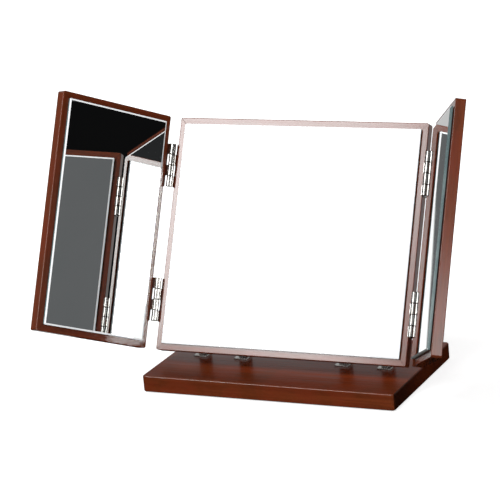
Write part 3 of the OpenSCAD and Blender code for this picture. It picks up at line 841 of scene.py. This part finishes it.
def make_screw_tree():
    """Countersunk cross-recess screws on points, each turned to its normal."""
    tree = bpy.data.node_groups.new("countersunk_screws", "GeometryNodeTree")
    face = tree.interface
    face.new_socket("Geometry", in_out="INPUT", socket_type="NodeSocketGeometry")
    for label, value in (
        ("Head Diameter", HINGE_SCREW_HEAD),
        ("Shank Diameter", HINGE_SCREW_SHANK),
        ("Head Height", LEAF_T),
        ("Length", HINGE_SCREW_LEN),
        ("Recess Width", HINGE_SCREW_HEAD * RECESS_WIDE),
    ):
        face.new_socket(label, in_out="INPUT", socket_type="NodeSocketFloat").default_value = value
    face.new_socket("Finish", in_out="INPUT", socket_type="NodeSocketMaterial")
    face.new_socket("Geometry", in_out="OUTPUT", socket_type="NodeSocketGeometry")
    start = tree.nodes.new("NodeGroupInput")
    end = tree.nodes.new("NodeGroupOutput")

    def times(output, factor):
        return sum_up(tree, "MULTIPLY", output, factor)

    def at_depth(geometry, z):
        lower = add(tree, "ShaderNodeCombineXYZ")
        join(tree, z, lower.inputs["Z"])
        move = add(tree, "GeometryNodeTransform")
        join(tree, geometry, move.inputs["Geometry"])
        join(tree, lower.outputs["Vector"], move.inputs["Translation"])
        return move.outputs["Geometry"]

    head_d = start.outputs["Head Diameter"]
    shank_d = start.outputs["Shank Diameter"]
    head_h = start.outputs["Head Height"]
    length = start.outputs["Length"]
    slot_w = start.outputs["Recess Width"]
    head = add(tree, "GeometryNodeMeshCone")
    head.inputs["Vertices"].default_value = HEAD_SIDES
    join(tree, times(head_d, 0.5), head.inputs["Radius Top"])
    join(tree, times(shank_d, 0.5), head.inputs["Radius Bottom"])
    join(tree, head_h, head.inputs["Depth"])
    head_low = at_depth(head.outputs["Mesh"], times(head_h, -1.0))
    bars = add(tree, "GeometryNodeJoinGeometry")
    for turned in (0.0, math.pi / 2):
        bar = add(tree, "GeometryNodeMeshCube")
        size = add(tree, "ShaderNodeCombineXYZ")
        join(tree, times(head_d, RECESS_LONG), size.inputs["X"])
        join(tree, slot_w, size.inputs["Y"])
        join(tree, head_h, size.inputs["Z"])
        join(tree, size.outputs["Vector"], bar.inputs["Size"])
        turn = add(tree, "GeometryNodeTransform")
        turn.inputs["Rotation"].default_value = (0.0, 0.0, turned)
        join(tree, bar.outputs["Mesh"], turn.inputs["Geometry"])
        join(tree, turn.outputs["Geometry"], bars.inputs["Geometry"])
    cut = add(tree, "GeometryNodeMeshBoolean", operation="DIFFERENCE")
    join(tree, head_low, cut.inputs["Mesh 1"])
    join(tree, bars.outputs["Geometry"], cut.inputs["Mesh 2"])
    shank = add(tree, "GeometryNodeMeshCone")
    shank.inputs["Vertices"].default_value = SHANK_SIDES
    join(tree, times(shank_d, 0.5), shank.inputs["Radius Top"])
    join(tree, times(shank_d, POINT_SHARE / 2), shank.inputs["Radius Bottom"])
    join(tree, sum_up(tree, "SUBTRACT", length, head_h), shank.inputs["Depth"])
    shank_low = at_depth(shank.outputs["Mesh"], times(length, -1.0))
    whole = add(tree, "GeometryNodeJoinGeometry")
    join(tree, cut.outputs["Mesh"], whole.inputs["Geometry"])
    join(tree, shank_low, whole.inputs["Geometry"])
    points = add(tree, "GeometryNodeMeshToPoints")
    join(tree, start.outputs["Geometry"], points.inputs["Mesh"])
    facing = add(tree, "GeometryNodeInputNamedAttribute", data_type="FLOAT_VECTOR")
    facing.inputs["Name"].default_value = "facing"
    align = add(tree, "FunctionNodeAlignRotationToVector", axis="Z")
    join(tree, facing.outputs["Attribute"], align.inputs["Vector"])
    turn_by = add(tree, "FunctionNodeRandomValue", data_type="FLOAT")
    turn_by.inputs["Min"].default_value = 0.0
    turn_by.inputs["Max"].default_value = math.pi
    turn_by.inputs["Seed"].default_value = TURN_SEED
    spin = add(tree, "FunctionNodeAxisAngleToRotation")
    spin.inputs["Axis"].default_value = (0.0, 0.0, 1.0)
    join(tree, turn_by.outputs[1], spin.inputs["Angle"])
    both = add(tree, "FunctionNodeRotateRotation", rotation_space="LOCAL")
    join(tree, align.outputs["Rotation"], both.inputs["Rotation"])
    join(tree, spin.outputs["Rotation"], both.inputs["Rotate By"])
    spread = add(tree, "GeometryNodeInstanceOnPoints")
    join(tree, points.outputs["Points"], spread.inputs["Points"])
    join(tree, whole.outputs["Geometry"], spread.inputs["Instance"])
    join(tree, both.outputs["Rotation"], spread.inputs["Rotation"])
    real = add(tree, "GeometryNodeRealizeInstances")
    join(tree, spread.outputs["Instances"], real.inputs["Geometry"])
    finish = add(tree, "GeometryNodeSetMaterial")
    join(tree, real.outputs["Geometry"], finish.inputs["Geometry"])
    join(tree, start.outputs["Finish"], finish.inputs["Material"])
    join(tree, finish.outputs["Geometry"], end.inputs["Geometry"])
    return tree


def set_input(modifier, label, value):
    """Sets a modifier's input by its socket's identifier."""
    for item in modifier.node_group.interface.items_tree:
        if item.item_type == "SOCKET" and item.in_out == "INPUT" and item.name == label:
            modifier[item.identifier] = value
            return
    raise KeyError(label)


def screw_piece(name, body, node, spots, sizes, finish):
    """One mesh of screws: spots are (place, direction the head faces), in metres."""
    data = bpy.data.meshes.new(name + "_spots")
    data.from_pydata([tuple(place) for place, facing in spots], [], [])
    lines = data.attributes.new("facing", "FLOAT_VECTOR", "POINT")
    for item, (place, facing) in zip(lines.data, spots):
        item.vector = facing
    holder = bpy.data.objects.new(name + "_spots", data)
    bpy.context.scene.collection.objects.link(holder)
    modifier = holder.modifiers.new("screws", "NODES")
    modifier.node_group = SCREW_TREE
    for label, value in sizes.items():
        set_input(modifier, label, value)
    set_input(modifier, "Finish", finish)
    holder.update_tag()
    graph = bpy.context.evaluated_depsgraph_get()
    graph.update()
    plain = bpy.data.meshes.new_from_object(holder.evaluated_get(graph))
    plain.name = name
    holder.modifiers.remove(modifier)
    bpy.data.objects.remove(holder)
    piece = bpy.data.objects.new(name, plain)
    bpy.context.scene.collection.objects.link(piece)
    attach(piece, body)
    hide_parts(node)
    return piece


def hinge_screw_spots(placing):
    """Heads of the hinge screws on a flat wing seen as the right-hand one: pin on x 0, y 0."""
    spots = []
    x = PIN_OUT - LEAF_T
    y = PIN_FORWARD + LEAF_DEPTH / 2 + SCREW_BACK
    out = (placing.to_3x3() @ Vector((-1.0, 0.0, 0.0))).normalized()
    for low in (HINGE_END, PANEL_H - HINGE_END - HINGE_LEN):
        for up in (HINGE_SCREW_END, HINGE_LEN / 2, HINGE_LEN - HINGE_SCREW_END):
            spots.append((placing @ Vector((x, y, low + up)), out))
    return spots


def make_screws():
    """All screws, one mesh for each body and size."""
    steel = metal("screw_steel", SCREW_BRIGHT, SCREW_DULL, EVEN_HAIR, *SCREW_ROUGH, SCREW_HAIR)
    small = {
        "Head Diameter": HINGE_SCREW_HEAD,
        "Shank Diameter": HINGE_SCREW_SHANK,
        "Head Height": LEAF_T,
        "Length": HINGE_SCREW_LEN,
        "Recess Width": HINGE_SCREW_HEAD * RECESS_WIDE,
    }
    large = {
        "Head Diameter": STAND_SCREW_HEAD,
        "Shank Diameter": STAND_SCREW_SHANK,
        "Head Height": PLATE_T,
        "Length": STAND_SCREW_LEN,
        "Recess Width": STAND_SCREW_HEAD * RECESS_WIDE,
    }
    medium = dict(large, Length=LEAF_SCREW_LEN)
    for side in ("left", "right"):
        spots = hinge_screw_spots(WINGS[side] @ flipped(side))
        name = side + "_wing_hinge_screw_set"
        screw_piece(name, side + "_wing", side + "_wing_hinge_screws", spots, small, steel)
    centre_spots = []
    for side in (-1, 1):
        pin_place = Matrix.Translation((side * (PANEL_W / 2 + PIN_OUT), -PIN_FORWARD, 0.0))
        turned = Matrix.Diagonal((-1.0 if side > 0 else 1.0, 1.0, 1.0, 1.0))
        centre_spots += hinge_screw_spots(CENTRE @ pin_place @ turned)
    name = "centre_hinge_screw_set"
    screw_piece(name, "centre_panel", "centre_hinge_screws", centre_spots, small, steel)
    pivot = Vector(joint_named("panel_tilt")["pos_m"])
    leg_back = pivot.y + TILT_KNUCKLE_R
    foot_y = leg_back - FOOT_LEN + FOOT_SCREW_IN
    foot_spots = []
    leaf_spots = []
    leaf_half = (LEG_SPACING - LEG_W - 2 * KNUCKLE_GAP) / 2 - LEAF_SCREW_IN
    back_facing = (CENTRE.to_3x3() @ Vector((0.0, 1.0, 0.0))).normalized()
    for stand in (-STAND_X, STAND_X):
        for leg in (-LEG_SPACING / 2, LEG_SPACING / 2):
            foot_spots.append((Vector((stand + leg, foot_y, BASE_TOP + PLATE_T)), (0.0, 0.0, 1.0)))
        for across in (-leaf_half, leaf_half):
            for up in (LEAF_SCREW_UP, TILT_LEAF_H - LEAF_SCREW_IN):
                spot = Vector((stand + across, PANEL_T + PLATE_T, PIVOT_UP + up))
                leaf_spots.append((CENTRE @ spot, back_facing))
    screw_piece("foot_screw_set", "base", "stand_foot_screws", foot_spots, large, steel)
    screw_piece("leaf_screw_set", "centre_panel", "tilt_leaf_screws", leaf_spots, medium, steel)


SCREW_TREE = make_screw_tree()


# =============================================================== studio
FLOOR_HALF = 9.0
FLOOR_GREY = 0.62
FLOOR_LIFT = 0.72
FLOOR_ROUGH = 0.9
MAT_MARGIN = 0.15
MAT_DROP = 2 * MM
MAT_GREY = 0.01
WHITE = (1.0, 1.0, 1.0)


def quad_object(name, half_x, half_y, z):
    """A flat rectangle facing up."""
    data = bpy.data.meshes.new(name)
    turns = ((-1, -1), (1, -1), (1, 1), (-1, 1))
    corners = [(half_x * x, half_y * y, z) for x, y in turns]
    data.from_pydata(corners, [], [(0, 1, 2, 3)])
    flat = bpy.data.objects.new(name, data)
    bpy.context.scene.collection.objects.link(flat)
    return flat


def only_in_reflections(piece):
    """Seen by glossy rays alone, so that it lights and hides nothing."""
    piece.visible_camera = False
    piece.visible_diffuse = False
    piece.visible_transmission = False
    piece.visible_volume_scatter = False
    piece.visible_shadow = False


def make_floor():
    """A large pale floor, white to the camera, that keeps the object's shadow."""
    floor = quad_object("pale_floor", FLOOR_HALF, FLOOR_HALF, 0.0)
    made, tree, shader = new_material("pale_floor")
    shader.inputs["Base Color"].default_value = (FLOOR_GREY, FLOOR_GREY, FLOOR_GREY, 1.0)
    shader.inputs["Roughness"].default_value = FLOOR_ROUGH
    shader.inputs["Specular IOR Level"].default_value = 0.0
    shader.inputs["Emission Color"].default_value = (*WHITE, 1.0)
    path = add(tree, "ShaderNodeLightPath")
    lift = sum_up(tree, "MULTIPLY", path.outputs["Is Camera Ray"], FLOOR_LIFT)
    join(tree, lift, shader.inputs["Emission Strength"])
    made.cycles.emission_sampling = "NONE"
    floor.data.materials.append(made)
    floor.visible_glossy = False


def make_dark_mat():
    """Dark ground close round the base, for reflections only."""
    mat = quad_object("dark_mat", BASE_W / 2 + MAT_MARGIN, BASE_D / 2 + MAT_MARGIN, -MAT_DROP)
    made, tree, shader = new_material("dark_mat")
    shader.inputs["Base Color"].default_value = (MAT_GREY, MAT_GREY, MAT_GREY, 1.0)
    shader.inputs["Specular IOR Level"].default_value = 0.0
    mat.data.materials.append(made)
    only_in_reflections(mat)


# what the mirrors and the polish show: azimuth 0 is straight in front, positive to the right, in degrees
ROOM_RADIUS = 60.0
ROOM_SEGMENTS = 48
ROOM_RINGS = 24
ROOM_DARK = 0.0042
ROOM_TINT = (0.95, 0.965, 1.0)
TINTED_LEVELS = (0.05, 0.4)
CRISP = 0.03
WINDOW_LEVEL = 1.2
WINDOW_LEAN = 0.29
WINDOW_LEFT = -31.7
WINDOW_RIGHT = 22.0
WINDOW_HEIGHTS = (8.0, 50.0)
GREY_LEVEL = 0.125
GREY_LEFT = -92.0
GREY_HEIGHTS = (-5.0, 48.0)
# azimuths, heights, softness of the border, level
ROOM_PATCHES = (
    ((-178.0, -104.0), (4.0, 60.0), 6.0, 0.48),
    ((-200.0, 200.0), (70.0, 100.0), 5.0, 0.6),
    ((62.0, 94.0), (9.0, 32.0), 4.0, 0.018),
    ((122.0, 178.0), (2.0, 60.0), 6.0, 0.5),
    ((-178.0, -104.0), (-88.0, 2.0), 6.0, 0.55),
    ((122.0, 178.0), (-88.0, 2.0), 6.0, 0.5),
)


def make_room():
    """A dark room for reflections: a white window in front, a grey wall beside it and light behind."""
    data = bpy.data.meshes.new("studio_room")
    mesh = bmesh.new()
    bmesh.ops.create_uvsphere(mesh, u_segments=ROOM_SEGMENTS, v_segments=ROOM_RINGS, radius=ROOM_RADIUS)
    mesh.to_mesh(data)
    mesh.free()
    room = bpy.data.objects.new("studio_room", data)
    bpy.context.scene.collection.objects.link(room)
    made = bpy.data.materials.new("studio_room")
    made.use_nodes = True
    tree = made.node_tree
    tree.nodes.clear()
    spot = add(tree, "ShaderNodeTexCoord")
    unit = add(tree, "ShaderNodeVectorMath", operation="NORMALIZE")
    join(tree, spot.outputs["Object"], unit.inputs[0])
    split = add(tree, "ShaderNodeSeparateXYZ")
    join(tree, unit.outputs["Vector"], split.inputs[0])
    away = sum_up(tree, "MULTIPLY", split.outputs["Y"], -1.0)
    round_it = sum_up(tree, "ARCTAN2", split.outputs["X"], away)
    rise = sum_up(tree, "ARCSINE", split.outputs["Z"], 0.0)

    def between(value, low, high, soft):
        first = ramp(tree, value, math.radians(low - soft), math.radians(low + soft))
        last = ramp(tree, value, math.radians(high - soft), math.radians(high + soft), 1.0, 0.0)
        return sum_up(tree, "MULTIPLY", first, last)

    def patch(turn, azimuths, heights, soft, level):
        area = sum_up(
            tree,
            "MULTIPLY",
            between(turn, azimuths[0], azimuths[1], soft),
            between(rise, heights[0], heights[1], soft),
        )
        return sum_up(tree, "MULTIPLY", area, level)

    leaning = sum_up(tree, "ADD", round_it, sum_up(tree, "MULTIPLY", rise, WINDOW_LEAN))
    level = patch(leaning, (WINDOW_LEFT, WINDOW_RIGHT), WINDOW_HEIGHTS, CRISP, WINDOW_LEVEL)
    wall = patch(leaning, (GREY_LEFT, WINDOW_LEFT), GREY_HEIGHTS, CRISP, GREY_LEVEL)
    level = sum_up(tree, "ADD", level, wall)
    for azimuths, heights, soft, strength in ROOM_PATCHES:
        level = sum_up(tree, "ADD", level, patch(round_it, azimuths, heights, soft, strength))
    level = sum_up(tree, "ADD", level, ROOM_DARK)
    glow = add(tree, "ShaderNodeEmission")
    plain = ramp(tree, level, *TINTED_LEVELS)
    join(tree, tint(tree, plain, ROOM_TINT, WHITE), glow.inputs["Color"])
    join(tree, level, glow.inputs["Strength"])
    out = add(tree, "ShaderNodeOutputMaterial")
    join(tree, glow.outputs["Emission"], out.inputs["Surface"])
    made.cycles.emission_sampling = "NONE"
    data.materials.append(made)
    only_in_reflections(room)


def aim(thing, origin, direction):
    """Points a lamp's -Z from origin back along direction."""
    facing = direction.normalized()
    turn = facing.to_track_quat("Z", "Y").to_matrix().to_4x4()
    thing.matrix_world = Matrix.Translation(origin) @ turn


def make_sun(name, direction, level, spread):
    """A soft directional light that gives a matt white face the radiance level."""
    data = bpy.data.lights.new(name, "SUN")
    data.energy = level * math.pi
    data.angle = math.radians(spread)
    lamp = bpy.data.objects.new(name, data)
    bpy.context.scene.collection.objects.link(lamp)
    aim(lamp, LIGHT_CENTRE + direction.normalized() * SUN_DISTANCE, direction)
    lamp.visible_glossy = False


def make_box_light(name, azimuth, elevation, width, height, radiance):
    """A softbox that only polished surfaces show."""
    around = math.radians(azimuth)
    rise = math.radians(elevation)
    flat = math.cos(rise)
    direction = Vector((math.sin(around) * flat, -math.cos(around) * flat, math.sin(rise)))
    data = bpy.data.lights.new(name, "AREA")
    data.shape = "RECTANGLE"
    data.size = width
    data.size_y = height
    data.energy = radiance * math.pi * width * height
    lamp = bpy.data.objects.new(name, data)
    bpy.context.scene.collection.objects.link(lamp)
    aim(lamp, LIGHT_CENTRE + direction.normalized() * BOX_DISTANCE, direction)
    lamp.visible_camera = False
    lamp.visible_diffuse = False
    lamp.visible_transmission = False


def make_world():
    """White behind the floor's end, a plain soft level on the object."""
    world = bpy.data.worlds.new("studio_world")
    bpy.context.scene.world = world
    world.use_nodes = True
    tree = world.node_tree
    sky = tree.nodes["Background"]
    sky.inputs["Color"].default_value = (*WHITE, 1.0)
    path = add(tree, "ShaderNodeLightPath")
    seen = path.outputs["Is Camera Ray"]
    for kind in ("Is Transmission Ray", "Is Glossy Ray"):
        seen = sum_up(tree, "MAXIMUM", seen, path.outputs[kind])
    join(tree, ramp(tree, seen, 0.0, 1.0, AMBIENT, 1.0, False), sky.inputs["Strength"])


def make_camera():
    """The photograph's camera."""
    data = bpy.data.cameras.new("photo_camera")
    data.sensor_fit = "HORIZONTAL"
    data.sensor_width = SENSOR_WIDTH
    data.lens = CAMERA_LENS
    data.clip_end = CAMERA_FAR
    camera = bpy.data.objects.new("photo_camera", data)
    bpy.context.scene.collection.objects.link(camera)
    around = CAMERA_AZIMUTH
    rise = CAMERA_ELEVATION
    flat = math.cos(rise)
    back = Vector((math.sin(around) * flat, -math.cos(around) * flat, math.sin(rise)))
    right = Vector((math.cos(around), math.sin(around), 0.0))
    up = back.cross(right)
    tilted_right = right * math.cos(CAMERA_ROLL) + up * math.sin(CAMERA_ROLL)
    tilted_up = up * math.cos(CAMERA_ROLL) - right * math.sin(CAMERA_ROLL)
    turn = Matrix((tilted_right, tilted_up, back)).transposed().to_4x4()
    camera.matrix_world = Matrix.Translation(CAMERA_TARGET + back * CAMERA_DISTANCE) @ turn
    bpy.context.scene.camera = camera


# =============================================================== build
make_camera()
make_world()
make_floor()
make_dark_mat()
make_room()
make_sun("key", KEY_FROM, KEY_LEVEL, KEY_SPREAD)
make_sun("fill", FILL_FROM, FILL_LEVEL, FILL_SPREAD)
make_box_light("softbox", **SOFTBOX)
make_box_light("side_box", **SIDE_BOX)
dress_wood()
dress_fittings()
make_mirrors()
make_screws()

bpy.context.scene.view_settings.view_transform = "Standard"

bpy.context.view_layer.update()
